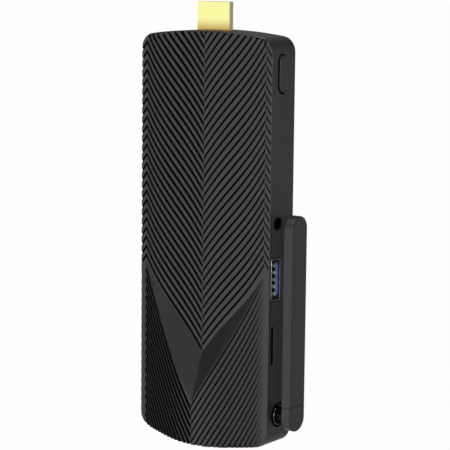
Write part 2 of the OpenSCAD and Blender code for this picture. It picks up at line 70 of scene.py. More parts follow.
nodes = frame["nodes"]
MM = 0.001
print("solids:", len(nodes), "box:", [[round(v, 4) for v in corner] for corner in cad_box])

# %% [markdown]
# ## The camera
# A product photograph of a small thing is taken with a long lens, so upright edges stay nearly parallel.
# The lens and the place of the camera could be set by eye, but here they come from fitting a pinhole
# camera to the straight edges of the case and the known size of the plug. The three angles turn the
# camera round the object, lift it and tilt it a little.

# %% Camera fitted to the edges of the case
IMAGE_PX, FOCAL_PX, SENSOR_MM = 450, 1832.8, 36.0
AZIMUTH, ELEVATION, ROLL = (math.radians(degrees) for degrees in (35.52, 8.41, 0.596))
STAND_RIGHT, STAND_UP, STAND_BACK = 7.165, -65.0, 644.16
FIT_SHIFT = np.array([0.43, 6.8, 3.4])  # where the origin of the solids lies in the frame of the fit
back = np.array([math.sin(AZIMUTH) * math.cos(ELEVATION),
                 -math.cos(AZIMUTH) * math.cos(ELEVATION), math.sin(ELEVATION)])
level = np.array([math.cos(AZIMUTH), math.sin(AZIMUTH), 0.0])
upright = np.cross(back, level)
right = math.cos(ROLL) * level + math.sin(ROLL) * upright
up = -math.sin(ROLL) * level + math.cos(ROLL) * upright
stand = (STAND_RIGHT * right + STAND_UP * up + STAND_BACK * back - FIT_SHIFT) * MM

camera_data = bpy.data.cameras.new("camera")
camera_data.sensor_width = SENSOR_MM
camera_data.lens = FOCAL_PX / IMAGE_PX * SENSOR_MM
camera_data.clip_start = 0.01
camera = bpy.data.objects.new("camera", camera_data)
bpy.context.scene.collection.objects.link(camera)
pose = np.eye(4)
pose[:3, 0], pose[:3, 1], pose[:3, 2], pose[:3, 3] = right, up, back, stand
camera.matrix_world = Matrix(pose.tolist())
bpy.context.scene.camera = camera
bpy.context.scene.view_settings.view_transform = "Standard"
print("lens %.1f mm, camera at %s mm" % (camera_data.lens, np.round(stand / MM, 1)))

# %% [markdown]
# ## Small helpers for materials
# A material is a graph of nodes. One function adds any node with its settings and links, so that each
# material below reads as a short list. Colours are written as the sRGB hex values a paint chart would
# give, and a second function turns them into the linear numbers that the renderer works with.

# %% Helpers: a node with its links, a colour from hex, an empty material
def add(tree, kind, inputs=None, **settings):
    """Add one node. A value in inputs is set on the socket, and an output socket is linked to it."""
    made = tree.nodes.new(kind)
    for name, value in settings.items():
        setattr(made, name, value)
    for name, value in (inputs or {}).items():
        if isinstance(value, bpy.types.NodeSocket):
            tree.links.new(value, made.inputs[name])
        else:
            made.inputs[name].default_value = value
    return made


def linear(code):
    """Linear colour of an sRGB hex value: channel c becomes ((c + 0.055) / 1.055) ** 2.4, or c / 12.92."""
    c = np.array([int(code[i:i + 2], 16) for i in (1, 3, 5)]) / 255
    c = np.where(c <= 0.04045, c / 12.92, ((c + 0.055) / 1.055) ** 2.4)
    return (*c.tolist(), 1.0)


def new_material(name):
    """An empty material with its output, ready for nodes."""
    made = bpy.data.materials.new(name)
    made.use_nodes = True
    made.node_tree.nodes.clear()
    return made, made.node_tree, add(made.node_tree, "ShaderNodeOutputMaterial")


print("grey card", [round(v, 3) for v in linear("#464646")[:3]])

# %% [markdown]
# ## White ground with black cards
# The photograph has a plain white ground. A floor could be lit until it clips, but then the black case
# would be overlit too. Here the floor and the world send white straight to the camera, a plain grey level
# to matt surfaces, and to mirror-like rays a white that fades out towards some sides, as it does where a
# photographer puts black cards. Near-black plastic shows hardly more than its reflections, so these fades
# decide which face of the case looks light or dark: the far left is black for the left half of the roof,
# and the right is dimmer for the side wall.

# %% What mirror-like rays find at the sides
WHITE = (1, 1, 1, 1)
LEFT_DARK, LEFT_FULL, LEFT_LEVEL = -0.9, -0.68, 0.05
RIGHT_FULL, RIGHT_DIM, RIGHT_LEVEL = -0.45, 0.6, 0.32


def side_light(tree, x):
    """Brightness over the x part of a direction: it climbs in a straight line from LEFT_LEVEL at LEFT_DARK
    to 1 at LEFT_FULL, and falls in another from 1 at RIGHT_FULL to RIGHT_LEVEL at RIGHT_DIM."""
    left = add(tree, "ShaderNodeMapRange", {"Value": x, "From Min": LEFT_DARK, "From Max": LEFT_FULL,
                                            "To Min": LEFT_LEVEL})
    right_side = add(tree, "ShaderNodeMapRange", {"Value": x, "From Min": RIGHT_FULL, "From Max": RIGHT_DIM,
                                                  "To Min": 1.0, "To Max": RIGHT_LEVEL})
    both = add(tree, "ShaderNodeMath", {0: left.outputs[0], 1: right_side.outputs[0]}, operation="MULTIPLY")
    return both.outputs[0]


print("mirrored white goes down to %.2f on the left and %.2f on the right" % (LEFT_LEVEL, RIGHT_LEVEL))

# %% [markdown]
# ## The floor
# The object hangs from its plug, so nothing rests on the floor, and it lies just below the reach of the
# swung antenna. A small share of it stays ordinary matt paper even for the camera, which keeps the soft
# shadow. Seen from below it is clear, so that the underside can be looked at. The direction to a place on
# the floor is that place's own position, divided by its length.

# %% Floor of studio paper
FLOOR_HALF, UNDER_ANTENNA, CAMERA_WHITE = 60.0, 1 * MM, 0.985
axis_z = np.mean([corner[2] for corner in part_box("antenna_pivot")])
floor_low = 2 * axis_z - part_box("antenna_paddle")[1][2] - UNDER_ANTENNA
floor_mesh = bpy.data.meshes.new("floor")
corners = np.array([[-1, -1, 0], [1, -1, 0], [1, 1, 0], [-1, 1, 0]]) * FLOOR_HALF
floor_mesh.from_pydata(corners.tolist(), [], [(0, 1, 2, 3)])
floor = bpy.data.objects.new("floor", floor_mesh)
floor.location.z = floor_low
bpy.context.scene.collection.objects.link(floor)

paper, tree, out = new_material("studio paper")
path = add(tree, "ShaderNodeLightPath").outputs
place = add(tree, "ShaderNodeTexCoord").outputs["Object"]
towards = add(tree, "ShaderNodeVectorMath", {0: place}, operation="NORMALIZE")
towards = add(tree, "ShaderNodeSeparateXYZ", {0: towards.outputs[0]})
mirrored = add(tree, "ShaderNodeMath", {0: path["Is Glossy Ray"], 1: path["Is Transmission Ray"]},
               operation="MAXIMUM")
direct = add(tree, "ShaderNodeMath", {0: path["Is Camera Ray"], 1: CAMERA_WHITE}, operation="MULTIPLY")
share = add(tree, "ShaderNodeMath", {0: mirrored.outputs[0], 1: direct.outputs[0]}, operation="MAXIMUM")
strength = add(tree, "ShaderNodeMath", {0: side_light(tree, towards.outputs["X"]), 1: path["Is Camera Ray"]},
               operation="MAXIMUM")
matt = add(tree, "ShaderNodeBsdfDiffuse", {"Color": linear("#F4F4F4")})
glow = add(tree, "ShaderNodeEmission", {"Color": WHITE, "Strength": strength.outputs[0]})
clear = add(tree, "ShaderNodeBsdfTransparent")
sheet = add(tree, "ShaderNodeMixShader", {0: share.outputs[0], 1: matt.outputs[0], 2: glow.outputs[0]})
below = add(tree, "ShaderNodeNewGeometry").outputs["Backfacing"]
sheet = add(tree, "ShaderNodeMixShader", {0: below, 1: sheet.outputs[0], 2: clear.outputs[0]})
tree.links.new(sheet.outputs[0], out.inputs["Surface"])
floor_mesh.materials.append(paper)
print("floor at %.1f mm" % (floor_low / MM))

# %% [markdown]
# ## The world
# The world is the wall of the studio. It has two more black cards: overhead, so that surfaces that lean
# up stay dark, and behind on the left, which is what the flat top edge of the case mirrors towards the
# camera. A world's Generated coordinate is the direction of the ray.

# %% World: white for the camera, fading for mirror-like rays, dim for matt surfaces
BEHIND_LEFT, MATT_LEVEL = (-0.58, 0.81, 0.1), 0.2
ABOVE_FROM, ABOVE_FULL, ABOVE_LEVEL = 0.15, 0.45, 0.15
BEHIND_FROM, BEHIND_FULL, BEHIND_LEVEL = 0.45, 0.8, 0.12
world = bpy.data.worlds.new("studio")
bpy.context.scene.world = world
world.use_nodes = True
sky = world.node_tree
sky.nodes.clear()
path = add(sky, "ShaderNodeLightPath").outputs
seen = add(sky, "ShaderNodeMath", {0: path["Is Camera Ray"], 1: path["Is Glossy Ray"]}, operation="MAXIMUM")
seen = add(sky, "ShaderNodeMath", {0: seen.outputs[0], 1: path["Is Transmission Ray"]}, operation="MAXIMUM")
towards = add(sky, "ShaderNodeTexCoord").outputs["Generated"]
axes = add(sky, "ShaderNodeSeparateXYZ", {0: towards}).outputs
above = add(sky, "ShaderNodeMapRange", {"Value": axes["Z"], "From Min": ABOVE_FROM, "From Max": ABOVE_FULL,
                                        "To Min": 1.0, "To Max": ABOVE_LEVEL})
behind = add(sky, "ShaderNodeVectorMath", {0: towards, 1: BEHIND_LEFT}, operation="DOT_PRODUCT")
behind = add(sky, "ShaderNodeMapRange", {"Value": behind.outputs["Value"], "From Min": BEHIND_FROM,
                                         "From Max": BEHIND_FULL, "To Min": 1.0, "To Max": BEHIND_LEVEL})
bright = add(sky, "ShaderNodeMath", {0: above.outputs[0], 1: behind.outputs[0]}, operation="MULTIPLY")
bright = add(sky, "ShaderNodeMath", {0: bright.outputs[0], 1: side_light(sky, axes["X"])},
             operation="MULTIPLY")
faint = add(sky, "ShaderNodeMath", {0: bright.outputs[0], 1: MATT_LEVEL}, operation="MULTIPLY")
full = add(sky, "ShaderNodeMath", {0: bright.outputs[0], 1: path["Is Camera Ray"]}, operation="MAXIMUM")
dim = add(sky, "ShaderNodeBackground", {"Color": WHITE, "Strength": faint.outputs[0]})
white = add(sky, "ShaderNodeBackground", {"Color": WHITE, "Strength": full.outputs[0]})
both = add(sky, "ShaderNodeMixShader", {0: seen.outputs[0], 1: dim.outputs[0], 2: white.outputs[0]})
add(sky, "ShaderNodeOutputWorld", {"Surface": both.outputs[0]})
print("world nodes:", len(sky.nodes))

# %% [markdown]
# ## Lamps
# Three square soft lamps stand round the object. The key lamp on the right lights the side wall and the
# antenna, the top lamp lights the rounded edges that look up, and a large weak lamp behind keeps the back
# readable. A strong one there would be mirrored in the top edge.

# %% Soft lamps: key on the right, one above, a weak one behind
MIDDLE, LAMP_FAR = np.array([0.0, 0.0, -70.0]) * MM, 0.9


def softbox(name, direction, size, power):
    """A square lamp at MIDDLE + LAMP_FAR * unit direction, turned to light the object."""
    towards = np.array(direction, float) / np.linalg.norm(direction)
    side = np.cross([0.0, 0.0, 1.0], towards)
    side /= np.linalg.norm(side)
    data = bpy.data.lights.new(name, "AREA")
    data.shape, data.size, data.energy = "SQUARE", size, power
    lamp = bpy.data.objects.new(name, data)
    place = np.eye(4)
    place[:3, 0], place[:3, 1], place[:3, 2] = side, np.cross(towards, side), towards
    place[:3, 3] = MIDDLE + LAMP_FAR * towards
    lamp.matrix_world = Matrix(place.tolist())
    bpy.context.scene.collection.objects.link(lamp)
    return lamp


lamps = [softbox("key lamp", (0.8, -0.6, 0.0), 0.4, 3.0),
         softbox("top lamp", (0.0, -0.35, 0.94), 0.4, 4.7),
         softbox("back lamp", (-0.6, 0.75, 0.3), 1.0, 0.7)]
print("lamps:", [lamp.name for lamp in lamps])

# %% [markdown]
# ## Moulded ABS
# The case is injection-moulded ABS, dyed through in near-black grey. The steel mould is spark-eroded,
# which leaves a fine matt grain on the plastic, so light spreads in a soft broad sheen and no edge
# mirrors. A flat grey would look like paper. The material has a slow cloud in colour, as from flow in the
# mould, and the grain in roughness and as a bump. Real grain is about 0.05 mm and could not show, so it
# is drawn at 0.2 mm. A mesh may carry a value named dark, which takes the colour down where little light
# gets in.

# %% Material: moulded ABS
def moulded_abs(name, code, roughness, sheen, grain_depth_mm=0.012, grain_mm=0.2, cloud_mm=9, cloud=0.08,
                spread=0.06):
    """Dyed ABS: colour times (1 plus or minus cloud) times (1 - dark), where dark is 0 on a mesh without it,
    roughness plus or minus spread, and eroded grain as bump. Sheen is the specular level."""
    made, tree, out = new_material(name)
    place = add(tree, "ShaderNodeTexCoord").outputs["Object"]
    slow = add(tree, "ShaderNodeTexNoise", {"Vector": place, "Scale": 1 / (cloud_mm * MM), "Detail": 3.0})
    grain = add(tree, "ShaderNodeTexNoise", {"Vector": place, "Scale": 1 / (grain_mm * MM), "Detail": 2.0})
    base = np.array(linear(code)[:3])
    tint = add(tree, "ShaderNodeMix", {"Factor": slow.outputs["Fac"]}, data_type="RGBA")
    tint.inputs[6].default_value = (*(base * (1 - cloud)), 1)
    tint.inputs[7].default_value = (*(base * (1 + cloud)), 1)
    # dark is painted shade: it takes the colour down where little light gets in.
    dark = add(tree, "ShaderNodeAttribute", attribute_name="dark")
    plain = add(tree, "ShaderNodeMath", {0: 1.0, 1: dark.outputs["Fac"]}, operation="SUBTRACT")
    tint = add(tree, "ShaderNodeVectorMath", {0: tint.outputs[2], "Scale": plain.outputs[0]},
               operation="SCALE")
    rough = add(tree, "ShaderNodeMapRange", {"Value": grain.outputs["Fac"], "To Min": roughness - spread,
                                             "To Max": roughness + spread})
    bump = add(tree, "ShaderNodeBump", {"Height": grain.outputs["Fac"], "Strength": 0.5,
                                        "Distance": grain_depth_mm * MM})
    surface = add(tree, "ShaderNodeBsdfPrincipled", {
        "Base Color": tint.outputs[0], "Roughness": rough.outputs[0], "Normal": bump.outputs[0],
        "IOR": 1.54, "Specular IOR Level": sheen})
    tree.links.new(surface.outputs[0], out.inputs["Surface"])
    return made


finish = {
    "cover_abs": moulded_abs("moulded ABS cover", "#29292A", 0.36, 0.66),
    "case_abs": moulded_abs("moulded ABS case", "#303031", 0.5, 0.54),
    "button_abs": moulded_abs("moulded ABS button", "#2F2F30", 0.48, 0.52, 0.006),
    "antenna_abs": moulded_abs("moulded ABS antenna", "#1B1B1C", 0.45, 0.76, 0.008),
}
print("plastics:", sorted(finish))

# %% [markdown]
# ## Plated and bare metals
# The plug shell is gold-plated sheet, the sockets are nickel-plated sheet, the pivot is black nickel.
# Pressed sheet is not a mirror: rolling leaves faint lines along one direction. They could be drawn with an
# anisotropic shader, but the export keeps that only as a number, so they are a stretched noise in
# roughness, tint and bump. Near its foot the plug's gold looks deeper, because the black case stands there
# and is mirrored in it, and a second colour that fades out with height paints that reflection in.

# %% Material: rolled and plated metal
def plated_metal(name, code, roughness, spread=0.08, case_reflection_code=None, low_mm=4.4, line_mm=0.15,
                 along=(1, 1, 12), depth_mm=0.004):
    """Metal with rolling lines: noise that is stretched along one axis drives roughness, tint and a fine
    bump. With a case_reflection_code, the colour goes from that at height 0 to the plain one at low_mm: a
    painted reflection of the dark case at the foot."""
    made, tree, out = new_material(name)
    place = add(tree, "ShaderNodeTexCoord").outputs["Object"]
    squeeze = add(tree, "ShaderNodeMapping", {"Vector": place, "Scale": tuple(1 / a for a in along)})
    lines = add(tree, "ShaderNodeTexNoise", {"Vector": squeeze.outputs[0], "Scale": 1 / (line_mm * MM),
                                             "Detail": 2.0})
    base = np.array(linear(code)[:3])
    tint = add(tree, "ShaderNodeMix", {"Factor": lines.outputs["Fac"]}, data_type="RGBA")
    tint.inputs[6].default_value = (*(base * 0.93), 1)
    tint.inputs[7].default_value = (*np.minimum(base * 1.05, 1), 1)
    if case_reflection_code:
        height = add(tree, "ShaderNodeSeparateXYZ", {0: place}).outputs["Z"]
        share = add(tree, "ShaderNodeMapRange", {"Value": height, "From Max": low_mm * MM},
                    interpolation_type="SMOOTHSTEP")
        tint = add(tree, "ShaderNodeMix", {"Factor": share.outputs[0], 7: tint.outputs[2]}, data_type="RGBA")
        tint.inputs[6].default_value = linear(case_reflection_code)
    rough = add(tree, "ShaderNodeMapRange", {"Value": lines.outputs["Fac"], "To Min": roughness - spread,
                                             "To Max": roughness + spread})
    bump = add(tree, "ShaderNodeBump", {"Height": lines.outputs["Fac"], "Strength": 0.3,
                                        "Distance": depth_mm * MM})
    surface = add(tree, "ShaderNodeBsdfPrincipled", {
        "Base Color": tint.outputs[2], "Metallic": 1.0, "Roughness": rough.outputs[0],
        "Normal": bump.outputs[0]})
    tree.links.new(surface.outputs[0], out.inputs["Surface"])
    return made


finish.update({
    # The gold's second colour near the foot is a painted reflection of the black case.
    "gold_plate": plated_metal("gold-plated sheet", "#FFFFA8", 0.17, case_reflection_code="#D0AF68"),
    "contact_gold": plated_metal("gold-plated contacts", "#E6C15A", 0.22),
    "shell_steel": plated_metal("nickel-plated sheet", "#C9CACC", 0.28),
    "dark_chrome": plated_metal("black nickel", "#1E1E20", 0.3),
    "spring_steel": plated_metal("spring steel", "#9C9EA2", 0.32),
    "copper_strip": plated_metal("copper strip", "#C98A54", 0.35),
    "can_tin": plated_metal("tin-plated can", "#BFC0C2", 0.4),
    "fin_aluminium": plated_metal("extruded aluminium", "#C4C6C8", 0.42),
    "cell_steel": plated_metal("nickel-plated cup", "#C6C7CA", 0.25),
    "screw_black": plated_metal("black zinc", "#4A4A4D", 0.4),
})
print("plastics and metals:", len(finish))

# %% [markdown]
# ## Insulators and the things on the board
# Connector bodies are glass-filled polymer, which shows tiny pale flecks of fibre. The board is glass
# epoxy under a green solder mask, chips are black epoxy, the pad is grey filled silicone. All of these
# are a dyed body with flecks of another shade, so one recipe serves, with the size of the fleck in
# millimetres.

# %% Material: filled polymer
def filled_polymer(name, code, fleck_code, roughness, fleck_mm, amount, sheen=0.5, spread=0.08,
                   depth_mm=0.006):
    """A dyed polymer with flecks: the colour goes over to the fleck's where a noise, with amount added,
    rises from 0.62 to 0.78. The same noise drives roughness and a fine bump."""
    made, tree, out = new_material(name)
    place = add(tree, "ShaderNodeTexCoord").outputs["Object"]
    noise = add(tree, "ShaderNodeTexNoise", {"Vector": place, "Scale": 1 / (fleck_mm * MM), "Detail": 3.0})
    where = add(tree, "ShaderNodeMapRange", {"Value": noise.outputs["Fac"], "From Min": 0.62 - amount,
                                             "From Max": 0.78 - amount})
    tint = add(tree, "ShaderNodeMix", {"Factor": where.outputs[0]}, data_type="RGBA")
    tint.inputs[6].default_value = linear(code)
    tint.inputs[7].default_value = linear(fleck_code)
    rough = add(tree, "ShaderNodeMapRange", {"Value": noise.outputs["Fac"], "To Min": roughness - spread,
                                             "To Max": roughness + spread})
    bump = add(tree, "ShaderNodeBump", {"Height": noise.outputs["Fac"], "Strength": 0.3,
                                        "Distance": depth_mm * MM})
    surface = add(tree, "ShaderNodeBsdfPrincipled", {
        "Base Color": tint.outputs[2], "Roughness": rough.outputs[0], "Normal": bump.outputs[0],
        "IOR": 1.6, "Specular IOR Level": sheen})
    tree.links.new(surface.outputs[0], out.inputs["Surface"])
    return made


finish.update({
    "black_lcp": filled_polymer("black liquid crystal polymer", "#0E0E0F", "#19191B", 0.5, 0.5, 0.1, 0.08),
    "blue_lcp": filled_polymer("blue liquid crystal polymer", "#6C90DC", "#86A8EC", 0.38, 0.5, 0.1),
    "white_pom": filled_polymer("acetal", "#DAD8D0", "#E6E4DC", 0.4, 1.0, 0.1),
    "board_fr4": filled_polymer("glass epoxy board", "#1F4A2C", "#2B6238", 0.35, 0.8, 0.12),
    "cable_fep": filled_polymer("fluoropolymer cable", "#242425", "#303032", 0.35, 0.6, 0.1),
    "chip_epoxy": filled_polymer("moulded epoxy", "#202022", "#2E2E31", 0.55, 0.3, 0.12),
    "pad_silicone": filled_polymer("filled silicone", "#8C969F", "#A3ADB5", 0.6, 0.5, 0.1),
})
for part in frame["record"]["subparts"]:
    mesh = nodes[part["node"]].data
    mesh.materials.clear()
    mesh.materials.append(finish[part["material_slot"]])
print("finishes:", len(finish), "on", len(nodes), "solids")

# %% [markdown]
# ## The ribbed cover
# The front is one moulded plate. Ribs run up from a fold in the middle to a fold near each edge, turn
# down on the narrow edge bands, and meet half a rib out of step at each fold. The lower end rises into a
# roof with a ridge, and two smooth facets join it to the ribs. Cutting hundreds of grooves with booleans
# would be slow and would leave knife edges. Here the whole face is worked out as height over a grid whose
# rows already run along the ribs, so every groove has a soft shoulder and the folds close by themselves.

# %% Outline of the case
HALF, FRONT, SEAM, END = 28.4, -6.8, -5.8, -148.3
CORNER, TOP_BOW, END_BOW = 5.5, 1.5, 1.5
EDGE = 0.35
FLAT = HALF - CORNER


def end_curve(x, bow, inset):
    """Height of a bowed end over its outermost point, never above 0: a wide arc in the middle, of radius
    (FLAT ** 2 + bow ** 2) / (2 * bow), and a corner arc on each side, both drawn in by the inset."""
    wide = (FLAT ** 2 + bow ** 2) / (2 * bow)
    turn = np.arcsin(FLAT / (wide - CORNER))
    centre = (wide - CORNER) * np.cos(turn) - wide
    x = np.abs(x)
    arc = np.sqrt((wide - inset) ** 2 - x ** 2) - wide
    corner = centre + np.sqrt(np.maximum((CORNER - inset) ** 2 - (x - FLAT) ** 2, 0))
    return np.where(x < (wide - inset) * np.sin(turn), arc, corner)


def outward(x, z):
    """Unit direction out of the outline at a point of it: away from the centre of the corner arc or of an
    end's wide arc, and sideways on the straight sides."""
    top, low = end_curve(FLAT, TOP_BOW, CORNER), END - end_curve(FLAT, END_BOW, CORNER)
    wide_top = (FLAT ** 2 + TOP_BOW ** 2) / (2 * TOP_BOW)
    wide_low = (FLAT ** 2 + END_BOW ** 2) / (2 * END_BOW)
    at_top, at_low, at_side = z > top, z < low, np.abs(x) > FLAT
    cx = np.where(at_side, np.sign(x) * FLAT, 0.0)
    cz = np.where(at_side, np.where(at_top, top, low), np.where(at_top, -wide_top, END + wide_low))
    dx, dz = x - cx, z - cz
    straight = ~(at_top | at_low)
    dx, dz = np.where(straight, np.sign(x), dx), np.where(straight, 0.0, dz)
    size = np.hypot(dx, dz)
    return dx / size, dz / size


print("case %.1f by %.1f mm" % (2 * HALF, -END))

# %% [markdown]
# A groove repeats at every PITCH along the height. Its profile is given at a few marks, in millimetres
# from the middle of its floor. One list says how deep it is at each mark, and another how dark, because
# little light gets down there.

# %% Rib pattern: groove profile, rows along the ribs, columns across
PITCH, FLOOR = 3.378, 0.4
FOLD, BAND_FALL = 26.0, 1.4
MARKS = np.array([-0.9, -0.74, -0.62, -0.52, 0.24, 0.36, 0.5, 0.66])
SHARES = np.array([0.0, 0.06, 0.3, 1.0, 1.0, 0.3, 0.06, 0.0])
# DARKS paints shade into the colour across a groove.
DARKS = np.array([0.0, 0.35, 0.95, 1.0, 1.0, 0.85, 0.2, 0.0])


def groove(offset, values, wide):
    """Value of a groove at an offset from its middle: straight lines between the marks, each mark times
    wide, from the rounded edge of one rib down a wall, over the floor and up to the next rib."""
    return np.interp(((offset + PITCH / 2) % PITCH - PITCH / 2) / wide, MARKS, values)


def rib_rows(low, high, phase):
    """Row positions: the marks of a groove at every half pitch, so that they serve both sides of a fold."""
    k = np.arange(math.floor(2 * (low - phase) / PITCH) - 1, math.ceil(2 * (high - phase) / PITCH) + 2)
    rows = np.unique(np.round((phase + k[:, None] * PITCH / 2 + MARKS).ravel(), 5))
    return np.concatenate([[low], rows[(rows > low) & (rows < high)], [high]])


NOTCH = 8.2  # half the width of the network socket's gap in the lower rim
field = np.concatenate([np.linspace(0, NOTCH, 10), np.linspace(NOTCH, FOLD, 21)[1:]])
turn = np.linspace(math.asin((FOLD - FLAT) / (CORNER - EDGE)), math.pi / 2, 8)
band = FLAT + (CORNER - EDGE) * np.sin(turn)
across = np.concatenate([-band[::-1], -field[::-1], field, band])
runs = [len(band), len(field), len(field), len(band)]
on_band = np.repeat([True, False, False, True], runs)
step = np.repeat([-0.5, -0.5, 0.0, 0.5], runs) * PITCH
far = np.minimum(np.abs(across), FOLD)
fall = BAND_FALL * np.maximum(np.abs(across) - FOLD, 0)
on_left = across < 0
print("columns:", len(across))

# %% [markdown]
# The grooves look wider on the left of the photograph than on the right, and those of the roof fade out
# towards its right edge. So the width, the depth and the darkness of a groove change with the column. The
# ribs' curve is a polynomial in t, which is 0 at the middle fold and 1 at the outer one.

# %% Upper sheet: the ribbed field
CROWN, VALLEY_Z, VALLEY_SAG, FIRST_UP = 0.5, -115.3, 1.6, 2.66
RIB_CURVE = (1.396, -0.674, 0.379, 0.126)  # factors of t, t ** 2, t ** 3 and t ** 4
FIELD_ROWS = (-122, 1)
WIDE_LEFT, WIDE_RIGHT, WIDE_RIGHT_BAND = 1.15, 0.87, 0.75


def ribbed(rows, lift, low, high, first, upward, base, depth, wide):
    """Points over (row, column): z is the row plus the column's lift, kept between low and high, and y is
    the base height plus the groove's share of the depth there. No groove lies beyond the first one."""
    z = np.clip(rows[:, None] + lift, low, high)
    offset = z - lift - first - step
    beyond = offset < -PITCH / 2 if upward else offset > PITCH / 2
    share, dark = (np.where(beyond, 0.0, groove(offset, values, wide)) for values in (SHARES, DARKS))
    return np.stack([np.broadcast_to(across, z.shape), base + share * depth, z], -1), dark


t = far / FOLD
rise = FOLD * sum(factor * t ** power for power, factor in enumerate(RIB_CURVE, 1)) - fall
valley = VALLEY_Z + rise - VALLEY_SAG * t ** 2
peak_z = valley.max()
valley = np.where(on_band, peak_z, valley)
crown = FRONT - CROWN * (1 - t ** 6)
first_up = VALLEY_Z + FIRST_UP
upper, upper_dark = ribbed(rib_rows(*FIELD_ROWS, first_up), rise, valley, end_curve(across, TOP_BOW, EDGE),
                           first_up, True, crown, FRONT + FLOOR - crown,
                           np.where(on_left, WIDE_LEFT, np.where(on_band, WIDE_RIGHT_BAND, WIDE_RIGHT)))
print("field: %d rows, %.1f to %.1f mm" % (len(upper), valley.min(), upper[-1, :, 2].max()))

# %% Lower sheets: the ribbed roof and the facets
RIDGE, CREST_R, RIDGE_Z, FIRST_LOW = 6.9, 36.0, -132.4, 1.17
BEND_LOW = 0.00037
ROOF_ROWS = (-197, RIDGE_Z + 4)
ROOF_WIDE_LEFT, ROOF_WIDE_RIGHT = 1.65, 0.85
SHALLOW_LEFT, SHALLOW_RIGHT = 0.45, 0.85  # share of the depth that is lost at the outer fold
LEFT_BAND_DEPTH, LEFT_BAND_DARK = 0.12, 0.5
FACET_LIFT, FACET_ROUND = 4.8, 1.5

slope = (peak_z - RIDGE_Z - BEND_LOW * FOLD ** 3) / FOLD
climb = slope * far + BEND_LOW * far ** 3 - fall
crest_y = FRONT - RIDGE + CREST_R
lean = math.atan2(FOLD, crest_y - FRONT) - math.acos(CREST_R / math.hypot(FOLD, crest_y - FRONT))
roof = np.where(far < CREST_R * math.sin(lean), crest_y - np.sqrt(CREST_R ** 2 - far ** 2),
                FRONT - (FOLD - far) * math.tan(lean))
brow = np.where(on_band, peak_z, RIDGE_Z + climb)
first_low = RIDGE_Z - FIRST_LOW
fade_right = np.where(on_band, 0.0, 1 - SHALLOW_RIGHT * t ** 4)
depth = np.where(on_left, np.where(on_band, LEFT_BAND_DEPTH, 1 - SHALLOW_LEFT * t ** 20), fade_right)
# This scales the painted groove shade of the roof per column: full on the left field, less on the left band,
# fading towards the right edge.
shade_scale = np.where(on_left, np.where(on_band, LEFT_BAND_DARK * (1 - fall / fall.max()), 1.0), fade_right)
lower, lower_dark = ribbed(rib_rows(*ROOF_ROWS, first_low), climb, END - end_curve(across, END_BOW, EDGE),
                           brow, first_low, False, roof, depth,
                           np.where(on_left, ROOF_WIDE_LEFT, ROOF_WIDE_RIGHT))

# A facet runs straight from the roof's edge to the field's, and a lift that dies out from the middle rounds
# its fold.
along = np.linspace(0, 1, 7)[:, None, None]
facets = (lower[-1] * (1 - along) + upper[0] * along)[:, ~on_band]
near = far[~on_band]
facets[..., 2] += (FACET_LIFT * (along * (1 - along))[..., 0] * (np.hypot(near, FACET_ROUND) - near)
                   * (1 - near / FOLD))
print("rows: roof %d, facets %d" % (len(lower), len(facets)))

# %% [markdown]
# The edge of a moulded plate rounds over and then drops straight back to the seam. Bevelling a face with
# so many grooves would pinch, so every border of the sheets carries a quarter circle and two steps back
# instead.

# %% The rim: round over the edge, then straight back to the seam with the housing
SOCKET_Y = -7.4


def rim(points):
    """A strip over (step, boundary point): a quarter circle of radius EDGE out of the outline, then two
    steps back, to the level of the network socket and to the seam."""
    nx, nz = outward(points[:, 0], points[:, 2])
    angle = np.linspace(0, math.pi / 2, 7)[:, None]
    turned = np.stack([points[:, 0] + nx * EDGE * np.sin(angle), points[:, 1] + EDGE * (1 - np.cos(angle)),
                       points[:, 2] + nz * EDGE * np.sin(angle)], -1)
    mid, last = turned[-1].copy(), turned[-1].copy()
    mid[:, 1] = np.maximum(mid[:, 1], SOCKET_Y)
    last[:, 1] = SEAM
    return np.concatenate([turned, mid[None], last[None]])


strips = [rim(upper[-1]), rim(upper[:, 0]), rim(upper[:, -1]), rim(lower[:, 0]), rim(lower[:, -1])]
bottom = rim(lower[0])
print("rim strips:", len(strips) + 1)

# %% [markdown]
# A sheet is a grid of points, so its quads follow from counting. Sheets that meet have the same points
# along their border, so merging equal points joins them. What is still open, at the back, is filled.

# %% Helpers: join grids into one mesh, close it, put it into the scene
def grid_faces(shape, start):
    """Corner numbers of all the quads of a grid of points whose first point has the number start."""
    n = np.arange(shape[0] * shape[1]).reshape(shape[:2]) + start
    return np.stack([n[:-1, :-1], n[:-1, 1:], n[1:, 1:], n[1:, :-1]], -1).reshape(-1, 4)


def joined(name, sheets, darks=None):
    """One mesh from several grids in mm. With darks, each quad keeps the mean of its corners' dark
    values."""
    starts = np.cumsum([0] + [s.shape[0] * s.shape[1] for s in sheets[:-1]])
    faces = np.concatenate([grid_faces(s.shape, a) for s, a in zip(sheets, starts)])
    mesh = bpy.data.meshes.new(name)
    mesh.from_pydata(np.concatenate([s.reshape(-1, 3) for s in sheets]) * MM, [], faces.tolist())
    if darks:
        values = np.concatenate([d.ravel() for d in darks])[faces].mean(1)
        mesh.attributes.new("dark", "FLOAT", "FACE").data.foreach_set("value", values.astype(np.float32))
    return mesh


